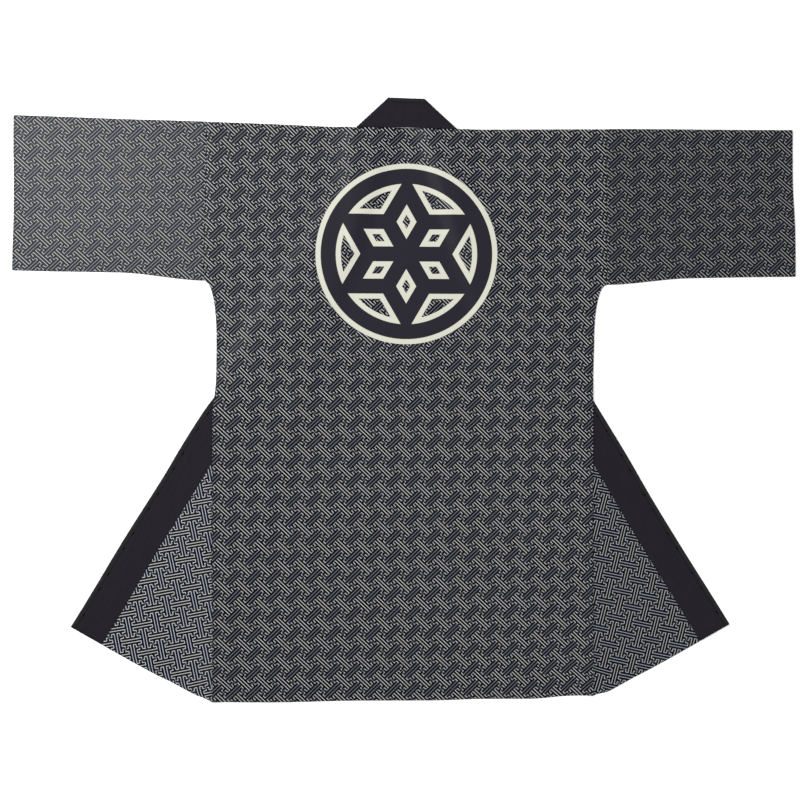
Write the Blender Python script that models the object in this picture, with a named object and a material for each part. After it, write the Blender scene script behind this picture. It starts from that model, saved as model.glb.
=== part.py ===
# Hanten of printed cotton, laid flat with its back up and both fronts folded out under it
import math

import bmesh
import bpy
from mathutils import Vector
from mathutils.geometry import delaunay_2d_cdt

# Cut of the garment, in millimetres
HALF_SPAN = 650.0
SHOULDER_HALF = 333.0
SIDE_HALF = 313.0
HEM_HALF = 317.0
BODY_LENGTH = 951.0
ARMHOLE_FOOT = 258.0
UNDERARM_DROP = 82.0
CUFF_DEPTH = 252.0
ARMHOLE_DEPTH = 262.0
SLEEVE_TAPER_SHARE = 0.45
NECK_HALF = 85.0
COLLAR_WIDTH = 55.5
COLLAR_RISE = 50.0
COLLAR_INNER_HALF = 32.0
FRONT_EDGE_HALF = 55.0
FRONT_DROP = 21.0

# How it lies: the shoulders rise outwards by this slope
SHOULDER_SLOPE = math.tan(math.radians(0.9))

# Cloth, in millimetres
CLOTH = 1.0
COLLAR_CLOTH = 2.0
GAP = 0.3
STRIP_RAMP = 14.0
FOLD_RAMP = 34.0
SEAM_RAMP = 40.0
NECK_RAMP = 90.0

# Mesh steps
FOLD_STEPS = 6
UNDERARM_STEPS = 10
SLEEVE_STATIONS = 12
CDT_TOLERANCE = 1e-4
ON_LINE = 0.01
SMOOTH_BELOW = math.radians(40.0)
METRES = 0.001

# The part's origin lies under the middle of its outline
CENTRE_Y = (COLLAR_RISE - BODY_LENGTH) / 2.0

# Levels of the stacked layers, each the height of a layer's underside
FRONT_ON_FLAP = CLOTH + GAP
BACK_ON_FLAP = 2.0 * (CLOTH + GAP)
FRONT_ON_COLLAR = COLLAR_CLOTH + GAP
BACK_ON_COLLAR = 2.0 * (COLLAR_CLOTH + GAP)
COLLAR_MIDDLE = FRONT_ON_COLLAR
COLLAR_TOP = BACK_ON_COLLAR


def shoulder(x):
    """Height of the shoulder fold line at a distance from the centre."""
    return SHOULDER_SLOPE * max(0.0, abs(x) - NECK_HALF)


def unit(a, b):
    """Direction from a to b."""
    return (b - a).normalized()


def left_of(direction):
    """The direction turned a quarter to the left."""
    return Vector((-direction.y, direction.x))


def shifted(a, b, distance):
    """The line through a and b, moved to its left."""
    side = left_of(unit(a, b)) * distance
    return a + side, b + side


def crossing(first, second):
    """Where two lines, each given by two points, cross."""
    (a, b), (c, d) = first, second
    along = b - a
    other = d - c
    share = (c - a).cross(other) / along.cross(other)
    return a + along * share


def mirrored(p, a, b):
    """The point p mirrored in the line through a and b."""
    along = unit(a, b)
    reach = p - a
    return a + along * (2.0 * reach.dot(along)) - reach


def distance_to_edge(p, a, b):
    """Distance from p to the straight edge between a and b."""
    along = b - a
    share = min(1.0, max(0.0, (p - a).dot(along) / along.length_squared))
    return (p - a - along * share).length


def inside(p, outline):
    """Whether p lies within a closed outline."""
    found = False
    for a, b in zip(outline, outline[1:] + outline[:1]):
        if (a.y > p.y) != (b.y > p.y):
            if p.x < a.x + (b.x - a.x) * (p.y - a.y) / (b.y - a.y):
                found = not found
    return found


def distance(p, outline):
    """Distance from p to a closed outline, nothing within it."""
    if inside(p, outline):
        return 0.0
    return min(distance_to_edge(p, a, b) for a, b in zip(outline, outline[1:] + outline[:1]))


def ramp(gone, height, width):
    """Height of cloth that falls evenly from an edge to the table."""
    return height * max(0.0, 1.0 - gone / width)


def underarm():
    """The curve from the foot of the armhole into the side seam."""
    top = SHOULDER_HALF - 0.5 * GAP
    points = []
    for i in range(UNDERARM_STEPS + 1):
        angle = 0.5 * math.pi * i / UNDERARM_STEPS
        x = top - (top - SIDE_HALF) * math.sin(angle)
        y = -ARMHOLE_FOOT - UNDERARM_DROP * (1.0 - math.cos(angle))
        points.append(Vector((x, y)))
    return points


class Layout:
    """The right half's outlines, all in the plane that the garment lies in."""

    def __init__(self):
        self.hem_corner = Vector((HEM_HALF, -BODY_LENGTH))
        self.foot = Vector((COLLAR_INNER_HALF, 0.0))
        self.fold = (self.foot, self.hem_corner)
        self.neck_point = Vector((NECK_HALF, 0.0))
        self.front_corner = Vector((FRONT_EDGE_HALF, -BODY_LENGTH - FRONT_DROP))
        along_hem = unit(self.front_corner, self.hem_corner)
        self.seam = (self.neck_point, self.front_corner + along_hem * COLLAR_WIDTH)
        self.shoulder_start = Vector((NECK_HALF + COLLAR_CLOTH, shoulder(NECK_HALF + COLLAR_CLOTH)))
        self.shoulder_end = Vector((SHOULDER_HALF - 0.5 * GAP, shoulder(SHOULDER_HALF)))
        self.collar_edge = shifted(*self.seam, -0.5 * GAP)
        self.front_edge = shifted(*self.seam, 0.5 * GAP)
        self.collar_fold_end = crossing(self.collar_edge, self.fold)
        self.front_fold_start = crossing(self.front_edge, self.fold)
        self.back = self.back_outline()
        self.front = self.front_outline()
        self.flap = self.flap_outline()
        self.neck_stretch, self.mitre = self.neck_outline()
        self.middle_stretch = self.middle_outline()
        self.strip = self.strip_outline()

    def back_outline(self):
        """From the middle of the neck out along the shoulder, and down the side to the hem."""
        top = [Vector((0.0, 0.0)), self.neck_point, self.shoulder_start, self.shoulder_end]
        return top + underarm() + [self.hem_corner, Vector((0.0, -BODY_LENGTH))]

    def front_outline(self):
        """The front's part in its natural place, between shoulder, side and fold."""
        below = Vector((0.0, -GAP))
        start = Vector((self.front_edge[0].x, 0.0)) + below
        return [start, self.shoulder_end + below] + underarm() + [self.hem_corner, self.front_fold_start]

    def flap_outline(self):
        """The front's part that is folded out, on the table."""
        corner = crossing(self.front_edge, (self.front_corner, self.hem_corner))
        return [self.front_fold_start, self.hem_corner, mirrored(corner, *self.fold)]

    def neck_outline(self):
        """The collar's stretch above the back's neck edge, and the mitre at its end."""
        low = Vector((NECK_HALF - 0.5 * GAP, GAP))
        high = Vector((COLLAR_INNER_HALF, COLLAR_RISE))
        outline = [Vector((0.0, GAP)), low, high, Vector((0.0, COLLAR_RISE))]
        return outline, (low, high)

    def middle_outline(self):
        """The collar's stretch below the mitre, down to where it is folded out."""
        return [self.mitre[0], self.mitre[1], self.foot, self.collar_fold_end]

    def strip_outline(self):
        """The collar's long stretch that is folded out, on the table."""
        corner = crossing(self.collar_edge, (self.front_corner, self.hem_corner))
        inner = mirrored(corner, *self.fold)
        outer = mirrored(self.front_corner, *self.fold)
        return [self.foot, self.collar_fold_end, inner, outer]

    def fall_lines(self):
        """Lines at which the upper layers reach the height that they fall to."""
        foot, _, inner, outer = self.strip
        lines = [shifted(foot, inner, -STRIP_RAMP), shifted(self.foot, outer, STRIP_RAMP)]
        lines.append(shifted(*self.fold, -FOLD_RAMP))
        lines.append(shifted(*self.seam, SEAM_RAMP))
        lines.append((Vector((0.0, -NECK_RAMP)), Vector((NECK_HALF, -NECK_RAMP))))
        return lines

    def front_height(self, p):
        """Height of a front's underside, where it lies in its natural place."""
        on_collar = ramp(distance(p, self.strip), FRONT_ON_COLLAR, STRIP_RAMP)
        on_flap = ramp(distance(p, self.flap), FRONT_ON_FLAP, STRIP_RAMP)
        gone = distance_to_edge(p, self.neck_point, self.collar_fold_end)
        at_seam = ramp(gone, FRONT_ON_COLLAR, SEAM_RAMP)
        return max(on_collar, on_flap, at_seam)

    def back_height(self, p):
        """Height of the back's underside."""
        heights = [ramp(distance(p, self.middle_stretch), BACK_ON_COLLAR, FOLD_RAMP)]
        heights.append(ramp(distance(p, self.flap), BACK_ON_FLAP, FOLD_RAMP))
        gone = distance_to_edge(p, Vector((0.0, 0.0)), self.neck_point)
        heights.append(ramp(gone, BACK_ON_COLLAR, NECK_RAMP))
        if distance(p, self.front) < ON_LINE + GAP:
            heights.append(self.front_height(p) + CLOTH + GAP)
        return max(heights)


class Plan:
    """One triangle mesh of the plane, cut along every outline, that all layers share."""

    def __init__(self, layout):
        points = []
        edges = []
        closed = [layout.back, layout.front, layout.flap, layout.strip]
        closed += [layout.neck_stretch, layout.middle_stretch]
        for outline in closed:
            first = len(points)
            count = len(outline)
            points += outline
            edges += [(first + i, first + (i + 1) % count) for i in range(count)]
        for line in layout.fall_lines():
            edges.append((len(points), len(points) + 1))
            points += line
        made = delaunay_2d_cdt(points, edges, [], 0, CDT_TOLERANCE)
        self.points = [p.copy() for p in made[0]]
        self.faces = [tuple(face) for face in made[2]]

    def within(self, outline):
        """The triangles that lie within an outline."""
        chosen = []
        for face in self.faces:
            middle = sum((self.points[i] for i in face), Vector((0.0, 0.0))) / 3.0
            if inside(middle, outline):
                chosen.append(face)
        return chosen

    def along(self, a, b):
        """The points on the straight edge from a to b, in order."""
        direction = unit(a, b)
        found = []
        for i, p in enumerate(self.points):
            if distance_to_edge(p, a, b) < ON_LINE:
                found.append(((p - a).dot(direction), i))
        return [i for _, i in sorted(found)]


class Cloth:
    """A closed solid made of layers of one cloth, joined by half-round folds."""

    def __init__(self, plan):
        self.plan = plan
        self.side = 1
        self.mesh = bmesh.new()
        self.corners = {}

    def vertex(self, key, x, y, z):
        if abs(x) < ON_LINE:
            key = (key[0], key[1], key[2], 0)
        if key not in self.corners:
            place = Vector((x, y - CENTRE_Y, z)) * METRES
            self.corners[key] = self.mesh.verts.new(place)
        return self.corners[key]

    def face(self, corners):
        """A face turned the same way on both sides of the garment."""
        ring = []
        for corner in corners:
            if corner not in ring:
                ring.append(corner)
        if len(ring) < 3:
            return
        if self.side < 0:
            ring.reverse()
        self.mesh.faces.new(ring)

    def layer(self, level, faces, height, thickness, open_chains):
        """A layer's upper and lower faces, and a wall round it but for its folds."""

        def pair(i):
            p = self.plan.points[i]
            low = height(p)
            x = self.side * p.x
            upper = self.vertex((level, i, 1, self.side), x, p.y, low + thickness)
            return upper, self.vertex((level, i, 0, self.side), x, p.y, low)

        skipped = set()
        for chain in open_chains:
            skipped |= {frozenset(step) for step in zip(chain, chain[1:])}
        outer = {}
        for a, b, c in faces:
            self.face([pair(a)[0], pair(b)[0], pair(c)[0]])
            self.face([pair(c)[1], pair(b)[1], pair(a)[1]])
            for start, end in ((a, b), (b, c), (c, a)):
                if frozenset((start, end)) in outer:
                    del outer[frozenset((start, end))]
                else:
                    outer[frozenset((start, end))] = (start, end)
        for key, (start, end) in outer.items():
            if key in skipped:
                continue
            if max(abs(self.plan.points[start].x), abs(self.plan.points[end].x)) < ON_LINE:
                continue
            first = pair(start)
            second = pair(end)
            self.face([first[1], second[1], second[0], first[0]])

    def fold(self, chain, outward, upper, lower, thickness, name):
        """A half-round fold along a chain of points, from one layer round to another.

        upper and lower are pairs: a level's name and its height function."""
        rows = []
        half = 0.5 * thickness
        for i in chain:
            p = self.plan.points[i]
            top = upper[1](p) + half
            base = lower[1](p) + half
            reach = 0.5 * (thickness + GAP)
            row = []
            for k in range(FOLD_STEPS + 1):
                angle = math.pi * k / FOLD_STEPS
                bulge = outward * math.sin(angle)
                z = 0.5 * (top + base) + 0.5 * (top - base) * math.cos(angle)
                ends = []
                for sign, mark in ((1, 1), (-1, 0)):
                    far = reach + sign * half
                    x = self.side * (p.x + bulge.x * far)
                    y = p.y + bulge.y * far
                    key = (name + str(k), i, mark, self.side)
                    if k == 0:
                        key = (upper[0], i, mark, self.side)
                    if k == FOLD_STEPS:
                        key = (lower[0], i, 1 - mark, self.side)
                    ends.append(self.vertex(key, x, y, z + sign * half * math.cos(angle)))
                row.append(ends)
            rows.append(row)
        for first, second in zip(rows, rows[1:]):
            for k in range(FOLD_STEPS):
                self.face([first[k][0], second[k][0], second[k + 1][0], first[k + 1][0]])
                self.face([first[k + 1][1], second[k + 1][1], second[k][1], first[k][1]])
        for row, turned in ((rows[0], False), (rows[-1], True)):
            for k in range(FOLD_STEPS):
                end = [row[k][1], row[k][0], row[k + 1][0], row[k + 1][1]]
                self.face(end[::-1] if turned else end)

    def close_edge(self, chain, level):
        """The end wall of a fold that stops at a level without going on as a layer."""
        for i, j in zip(chain, chain[1:]):
            corners = []
            for step, mark in ((i, 0), (j, 0), (j, 1), (i, 1)):
                corners.append(self.corners[(level, step, mark, self.side)])
            self.face(corners)


def finish(name, mesh, material):
    """Make an object of a mesh, with every face turned out."""
    bmesh.ops.triangulate(mesh, faces=mesh.faces[:])
    bmesh.ops.recalc_face_normals(mesh, faces=mesh.faces[:])
    data = bpy.data.meshes.new(name)
    mesh.to_mesh(data)
    mesh.free()
    data.materials.append(material)
    data.shade_smooth()
    data.set_sharp_from_angle(angle=SMOOTH_BELOW)
    made = bpy.data.objects.new(name, data)
    bpy.context.collection.objects.link(made)
    return made


def material(name, colour, roughness):
    """A plain cloth material."""
    made = bpy.data.materials.new(name)
    made.use_nodes = True
    shader = made.node_tree.nodes["Principled BSDF"]
    shader.inputs["Base Color"].default_value = (*colour, 1.0)
    shader.inputs["Roughness"].default_value = roughness
    shader.inputs["Metallic"].default_value = 0.0
    return made


def on_table(p):
    """Height of a layer that lies on the table."""
    return 0.0


def build_back(layout, plan, cloth_material):
    """The back, from hem to shoulder, with the shoulder fold at its top edge."""
    solid = Cloth(plan)
    faces = plan.within(layout.back)
    start = layout.shoulder_start
    end = layout.shoulder_end
    chain = plan.along(start, end)[::-1]
    outward = left_of(unit(start, end))
    upper = ("back", layout.back_height)
    lower = ("turn", layout.front_height)
    for side in (1, -1):
        solid.side = side
        solid.layer("back", faces, layout.back_height, CLOTH, [chain])
        solid.fold(chain, outward, upper, lower, CLOTH, "shoulder")
        solid.close_edge(chain, "turn")
    return finish("back", solid.mesh, cloth_material)


def build_front(layout, plan, side, name, cloth_material):
    """A front: its natural part under the back, and the flap folded out below."""
    solid = Cloth(plan)
    solid.side = side
    start = layout.front_fold_start
    end = layout.hem_corner
    chain = plan.along(start, end)
    solid.layer("front", plan.within(layout.front), layout.front_height, CLOTH, [chain])
    solid.layer("flap", plan.within(layout.flap), on_table, CLOTH, [chain])
    outward = -left_of(unit(start, end))
    upper = ("front", layout.front_height)
    solid.fold(chain, outward, upper, ("flap", on_table), CLOTH, "fold")
    return finish(name, solid.mesh, cloth_material)


def build_collar(layout, plan, cloth_material):
    """The collar band: the neck stretch, both mitres and both folded side stretches."""

    def middle(p):
        return COLLAR_MIDDLE

    def top(p):
        return COLLAR_TOP

    solid = Cloth(plan)
    low, high = layout.mitre
    foot = layout.foot
    fold_end = layout.collar_fold_end
    mitre = plan.along(low, high)
    fold = plan.along(foot, fold_end)
    for side in (1, -1):
        solid.side = side
        solid.layer("top", plan.within(layout.neck_stretch), top, COLLAR_CLOTH, [mitre])
        solid.layer("middle", plan.within(layout.middle_stretch), middle, COLLAR_CLOTH, [mitre, fold])
        solid.layer("strip", plan.within(layout.strip), on_table, COLLAR_CLOTH, [fold])
        outward = -left_of(unit(low, high))
        solid.fold(mitre, outward, ("top", top), ("middle", middle), COLLAR_CLOTH, "mitre")
        outward = -left_of(unit(foot, fold_end))
        solid.fold(fold, outward, ("middle", middle), ("strip", on_table), COLLAR_CLOTH, "fold")
    return finish("collar", solid.mesh, cloth_material)


def sleeve_depth(share):
    """Depth of the sleeve at a share of the way from the armhole to the cuff."""
    near = max(0.0, 1.0 - share / SLEEVE_TAPER_SHARE)
    return CUFF_DEPTH + (ARMHOLE_DEPTH - CUFF_DEPTH) * near * near * (3.0 - 2.0 * near)


def sleeve_ring(mesh, x, top, bottom, radius):
    """A flat ring round the sleeve: along the table, round the top fold and back."""
    middle = CLOTH + 0.5 * GAP
    points = []
    for k in range(FOLD_STEPS + 1):
        angle = -0.5 * math.pi + math.pi * k / FOLD_STEPS
        points.append((top + radius * math.cos(angle), middle + radius * math.sin(angle)))
    for k in range(FOLD_STEPS + 1):
        angle = 0.5 * math.pi + math.pi * k / FOLD_STEPS
        points.append((bottom + radius * math.cos(angle), middle + radius * math.sin(angle)))
    return [mesh.verts.new(Vector((x, y - CENTRE_Y, z)) * METRES) for y, z in points]


def build_sleeve(side, name, cloth_material):
    """A sleeve: a flat tube, open at the armhole and the cuff."""
    mesh = bmesh.new()
    start = SHOULDER_HALF + 0.5 * GAP
    outer = []
    inner = []
    for i in range(SLEEVE_STATIONS + 1):
        share = i / SLEEVE_STATIONS
        x = start + (HALF_SPAN - start) * share
        top = shoulder(x)
        bottom = top - sleeve_depth(share) + CLOTH
        outer.append(sleeve_ring(mesh, side * x, top, bottom, CLOTH + 0.5 * GAP))
        inner.append(sleeve_ring(mesh, side * x, top, bottom, 0.5 * GAP))
    for rings in (outer, inner):
        for first, second in zip(rings, rings[1:]):
            count = len(first)
            for k in range(count):
                after = (k + 1) % count
                mesh.faces.new([first[k], second[k], second[after], first[after]])
    for outside, within in ((outer[0], inner[0]), (outer[-1], inner[-1])):
        count = len(outside)
        for k in range(count):
            after = (k + 1) % count
            mesh.faces.new([outside[k], outside[after], within[after], within[k]])
    return finish(name, mesh, cloth_material)


def clear_scene():
    """Remove the objects that the scene starts with."""
    for old in list(bpy.data.objects):
        bpy.data.objects.remove(old, do_unlink=True)


def main():
    clear_scene()
    printed = material("printed_cotton", (0.062, 0.060, 0.070), 0.85)
    plain = material("black_cotton", (0.012, 0.012, 0.017), 0.8)
    layout = Layout()
    plan = Plan(layout)
    build_back(layout, plan, printed)
    build_front(layout, plan, 1, "front_right", printed)
    build_front(layout, plan, -1, "front_left", printed)
    build_sleeve(1, "sleeve_right", printed)
    build_sleeve(-1, "sleeve_left", printed)
    build_collar(layout, plan, plain)


main()
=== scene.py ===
"""The looks of a hanten that lies flat with its back up and both fronts folded out under it.

It is laid out as a Blender add-on and run as a script. Shapes are worked out in millimetres,
on the flat garment, from the middle of its shoulder line: x to the wearer's right, y up to the collar,
z out of the back.
"""

import math

import bpy
import numpy as np
from bpy.props import FloatProperty, FloatVectorProperty, PointerProperty
from mathutils import Matrix, Vector


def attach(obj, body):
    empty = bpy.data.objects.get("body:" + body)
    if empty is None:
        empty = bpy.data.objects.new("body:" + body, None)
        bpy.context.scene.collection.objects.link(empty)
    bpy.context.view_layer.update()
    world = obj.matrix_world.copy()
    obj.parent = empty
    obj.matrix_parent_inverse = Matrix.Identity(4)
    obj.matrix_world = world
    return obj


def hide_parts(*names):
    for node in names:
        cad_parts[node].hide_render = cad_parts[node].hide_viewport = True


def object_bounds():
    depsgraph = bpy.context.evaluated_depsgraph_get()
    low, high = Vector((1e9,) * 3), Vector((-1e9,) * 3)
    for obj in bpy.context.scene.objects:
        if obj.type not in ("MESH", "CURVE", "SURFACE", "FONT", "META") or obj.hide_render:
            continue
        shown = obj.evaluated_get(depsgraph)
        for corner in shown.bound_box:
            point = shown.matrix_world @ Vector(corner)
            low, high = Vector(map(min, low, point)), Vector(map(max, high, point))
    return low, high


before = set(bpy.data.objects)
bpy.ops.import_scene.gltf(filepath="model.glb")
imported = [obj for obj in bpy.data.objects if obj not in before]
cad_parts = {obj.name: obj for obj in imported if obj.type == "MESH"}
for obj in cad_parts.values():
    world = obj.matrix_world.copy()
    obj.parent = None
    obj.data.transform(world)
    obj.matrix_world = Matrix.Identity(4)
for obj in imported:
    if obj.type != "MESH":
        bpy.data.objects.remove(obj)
CAD_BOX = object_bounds()

bl_info = {
    "name": "Hanten",
    "version": (1, 0, 0),
    "blender": (4, 5, 0),
    "location": "View3D > Sidebar > Hanten",
    "description": "A cotton hanten laid flat: back, fronts, sleeves, collar band, stitches and stage",
    "category": "Add Mesh",
}

# Sizes of the cut and of the way it lies, in millimetres
MM = 0.001
HALF_SPAN = CAD_BOX[1][0] / MM
SHOULDER_HALF = 333.0
SIDE_HALF = 313.0
HEM_HALF = 317.0
BODY_LENGTH = 951.0
ARMHOLE_FOOT = 258.0
UNDERARM_DROP = 82.0
CUFF_DEPTH = 252.0
ARMHOLE_DEPTH = 262.0
SLEEVE_TAPER_SHARE = 0.45
NECK_HALF = 85.0
COLLAR_WIDTH = 57.5
COLLAR_RISE = 50.0
COLLAR_INNER_HALF = 32.0
FRONT_EDGE_HALF = 55.0
FRONT_DROP = 21.0
SHOULDER_SLOPE = math.tan(math.radians(0.9))
NECK_LINE_Y = (BODY_LENGTH - COLLAR_RISE) / 2

# Levels of the layers, the same as in the solids
LAYER = 1.0
BAND = 2.0
GAP = 0.3

# Steps of the meshes
CELL = 5.0
EDGE_STEPS = (0.5, 1.2, 2.4)
FOLD_STEPS = 6

# How each piece was cut from the printed length, told at one place on it, in millimetres: where the print
# starts there, its turn in degrees, and how much it leans, is wider and is longer than on the square, in
# percent. A separate program fitted all but the places to the photo, and they are rounded.
PRINT_LIE = {
    "back": {
        "about": (0, -550), "start": (2.0, -14.5), "turn": -0.1,
        "lean": -0.4, "wider": 0.3, "longer": 0.2,
    },
    "sleeve_right": {
        "about": (490, -120), "start": (-7.0, 11.5), "turn": -1.2,
        "lean": -2.5, "wider": -1.9, "longer": 1.1,
    },
    "sleeve_left": {
        "about": (-500, -110), "start": (7.5, -14.5), "turn": -0.8,
        "lean": -1.6, "wider": -2.1, "longer": 2.5,
    },
    "front_right": {
        "about": (180, -860), "start": (2.5, 5.0), "turn": -1.2,
        "lean": 0.5, "wider": -1.0, "longer": 1.0,
    },
    "front_left": {
        "about": (-260, -930), "start": (-16.0, 3.5), "turn": -0.7,
        "lean": 1.3, "wider": 1.2, "longer": 0.2,
    },
}

# How each piece takes print and light: the strength of its falling lines, of its rising ones, and its shine.
# Each piece's line strengths also hold painted light and shade: a darker print where the piece lay in less
# light, such as the right sleeve, and a paler one where it lay in more.
# They were set so that the tones follow the photo; one real cloth would have one finish.
PRINT_TAKE_AND_PAINTED_LIGHT = {
    "back": (0.95, 0.35, 0.08),
    "sleeve_right": (0.63, 0.29, 0.13),
    "sleeve_left": (0.8, 0.48, 0.15),
    "front_right": (0.74, 0.66, 0.07),
    "front_left": (1.0, 1.0, 0.1),
}

# How the cloth settled off the square cut when it was laid out: places on the flat and how far each moved,
# set from measured differences between the outlines of the render and the photo
PULLS = {
    "left_cuff": ((-650, -130), (1.5, 0)),
    "left_cuff_top": ((-640, 0), (0, 1.5)),
    "left_cuff_foot": ((-640, -255), (0, -2)),
    "left_shoulder": ((-330, 0), (0, 1)),
    "right_cuff_top": ((640, 5), (0, -2.5)),
    "right_cuff_foot": ((650, -250), (6, 2)),
    "left_underarm": ((-330, -270), (-2.5, -0.5)),
    "collar_corner": ((36, 45), (-4, -2)),
    "shoulder_middle": ((0, 0), (0, -0.5)),
    "back_middle": ((0, -450), (0, 0)),
    "right_underarm": ((325, -265), (2.5, 0)),
    "right_side": ((310, -500), (0, 0)),
    "left_side": ((-313, -400), (-1, 0)),
    "left_flap_top": ((-360, -480), (-7, -1)),
    "left_flap_edge": ((-400, -640), (-5, -3)),
    "left_flap_hem": ((-430, -895), (-2, -8)),
    "left_flap_start": ((-360, -935), (-1, -6.5)),
    "left_hem_corner": ((-317, -951), (0, -3.5)),
    "hem_middle": ((0, -951), (0, -1.5)),
    "right_hem_corner": ((305, -951), (0, 6.5)),
    "hem_right_of_middle": ((180, -951), (0, 1)),
    "right_flap_start": ((355, -930), (0, -1)),
    "right_flap_hem": ((430, -895), (0, -2)),
    "right_flap_edge": ((470, -640), (-3, 0)),
}
PULL_REACH = 45.0
PULL_SOFT = 0.02

# Stitches of the collar band, in millimetres: the first one's place, the spaces between them in turn, the end
# left bare, and how deep they sit. Real thread is under 0.5 mm thick; it is drawn at about 1.9 mm, or the
# render would lose it.
STITCH_START = 20.0
STITCH_SPACES = (29.0, 48.0)
STITCH_BARE_END = 15.0
STITCH_SUNK = 0.45
STITCH_HALF = 0.95

# The stage, in metres, watts and degrees. Each lamp has a place, an aim, a side and a power. A separate
# program fitted the camera's place and turns to the outline in the photo, and they are rounded.
FLOOR_HALF = 6.0
FLOOR_LEVEL = -0.0002
SKY_STRENGTH = 0.35
LAMPS = (
    ("soft_left", (-2.4, 1.2, 2.0), (-0.1, 0, 0), 1.6, 92),
    ("soft_right", (2.4, -1.0, 2.0), (0.1, 0, 0), 1.6, 52),
    ("soft_above_sleeve", (-0.98, 0.86, 2.6), (-0.6, 0.4, 0), 0.6, 38),
)
CAMERA_PLACE = (-0.2162, -0.0385, 3.3196)
CAMERA_TURNS = (3.56, -0.61, -0.40)
LENS = 90
SENSOR = 36


def from_hex(code):
    """The linear colour of an sRGB hex value such as #29262E."""
    parts = [int(code[i : i + 2], 16) / 255 for i in (1, 3, 5)]
    linear = [c / 12.92 if c <= 0.04045 else ((c + 0.055) / 1.055) ** 2.4 for c in parts]
    return (*linear, 1.0)


def length_setting(name, about, millimetres):
    """A length on the panel, stored in metres."""
    return FloatProperty(name=name, description=about, default=millimetres * MM, unit="LENGTH")


def colour_setting(name, about, code):
    """A colour on the panel, from its sRGB hex value."""
    return FloatVectorProperty(name=name, description=about, size=4, subtype="COLOR", default=from_hex(code))


class HantenCloth(bpy.types.PropertyGroup):
    """Sizes of the cloth and of its sewing."""

    cloth_thick: length_setting("Cloth", "Thickness of one layer of cloth", 0.9)
    thread_space: length_setting("Threads", "From one thread of the weave to the next", 0.8)
    ripple: length_setting("Ripple", "How far the cloth waves up off flat", 0.8)
    stitch_length: length_setting("Stitch", "Length of a stitch on the collar band", 6.0)
    stitch_inset: length_setting("Stitch line", "From the band's free edge to its stitches", 8.0)


class HantenPrint(bpy.types.PropertyGroup):
    """Sizes of the key-fret print and of the medallion on the back."""

    repeat_wide: length_setting("Repeat across", "Width of one repeat", 32.9)
    repeat_tall: length_setting("Repeat along", "Height of one repeat", 31.6)
    line_share: FloatProperty(
        name="Line", description="Width of a printed line as a share of the line spacing", default=0.23
    )
    medallion_radius: length_setting("Medallion", "Radius to the middle of its ring", 130)
    medallion_drop: length_setting("Medallion drop", "From the shoulder line to its middle", 210)


class HantenColours(bpy.types.PropertyGroup):
    """Colours of the dyes and of the stage."""

    ground: colour_setting("Ground", "Navy ground of the print", "#08070D")
    ink: colour_setting("Print", "Pale lines that fall to the right", "#B6B7B6")
    cool_ink: colour_setting("Cool print", "Pale lines that rise to the right", "#A6ADBB")
    medallion_dark: colour_setting("Medallion dark", "Bars of the medallion", "#1E1C24")
    medallion_pale: colour_setting("Medallion pale", "Outline of the medallion", "#BABAAD")
    collar: colour_setting("Collar", "Black cotton of the collar", "#19171D")
    collar_edge: colour_setting("Collar edge", "The paler border outside the collar's stitches", "#1C1B1D")
    thread: colour_setting("Thread", "Thread of the collar's stitches", "#020203")
    floor: colour_setting("Floor", "Pale table top", "#FBFBFA")


# The way the garment lies, on the flat


def on_line(start, end, share):
    """Points that share of the way from start to end."""
    start, end, share = np.asarray(start, float), np.asarray(end, float), np.asarray(share, float)
    return start + share[..., None] * (end - start)


def mirrored(points, start, end):
    """Points folded over the line from start to end."""
    along = (end - start) / np.linalg.norm(end - start)
    offset = points - start
    return start + 2 * (offset @ along)[..., None] * along - offset


NECK_POINT = np.array((NECK_HALF, 0.0))
FOLD_TOP = np.array((COLLAR_INNER_HALF, 0.0))
FOLD_FOOT = np.array((HEM_HALF, -BODY_LENGTH))
FRONT_CORNER = np.array((FRONT_EDGE_HALF, -BODY_LENGTH - FRONT_DROP))
FOLD_ALONG = (FOLD_FOOT - FOLD_TOP) / np.linalg.norm(FOLD_FOOT - FOLD_TOP)
FOLD_OUT = np.array((FOLD_ALONG[1], -FOLD_ALONG[0]))


def crossing(a, b, c, d):
    """Where the line a-b meets the line c-d."""
    across = np.array((d[1] - c[1], c[0] - d[0]))
    return a + (c - a) @ across / ((b - a) @ across) * (b - a)


# The front edge runs from the collar's inner foot to the front corner. Its seam lies a collar's width inside.
EDGE_ALONG = (FRONT_CORNER - FOLD_TOP) / np.linalg.norm(FRONT_CORNER - FOLD_TOP)
EDGE_IN = np.array((-EDGE_ALONG[1], EDGE_ALONG[0]))
SEAM_SHIFT = EDGE_IN * COLLAR_WIDTH
SEAM_FOOT = crossing(FRONT_CORNER + SEAM_SHIFT, FOLD_TOP + SEAM_SHIFT, FRONT_CORNER, FOLD_FOOT)
FOLD_END = crossing(NECK_POINT, SEAM_FOOT, FOLD_TOP, FOLD_FOOT)
FLAP_SEAM_FOOT = mirrored(SEAM_FOOT, FOLD_TOP, FOLD_FOOT)
FLAP_CORNER = mirrored(FRONT_CORNER, FOLD_TOP, FOLD_FOOT)
STRIP = (FOLD_TOP, FOLD_END, FLAP_SEAM_FOOT, FLAP_CORNER)
FLAP = (FOLD_END, FOLD_FOOT, FLAP_SEAM_FOOT)
NECK_MITRE = (NECK_POINT + (-0.15, 0.3), np.array((COLLAR_INNER_HALF, COLLAR_RISE)))
COLLAR_MIDDLE = (NECK_MITRE[0], NECK_MITRE[1], FOLD_TOP, FOLD_END)


def shoulder(x):
    """The shoulder fold's height at x: it rises a little towards the sleeve."""
    return SHOULDER_SLOPE * np.maximum(0, np.abs(x) - NECK_HALF)


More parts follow.
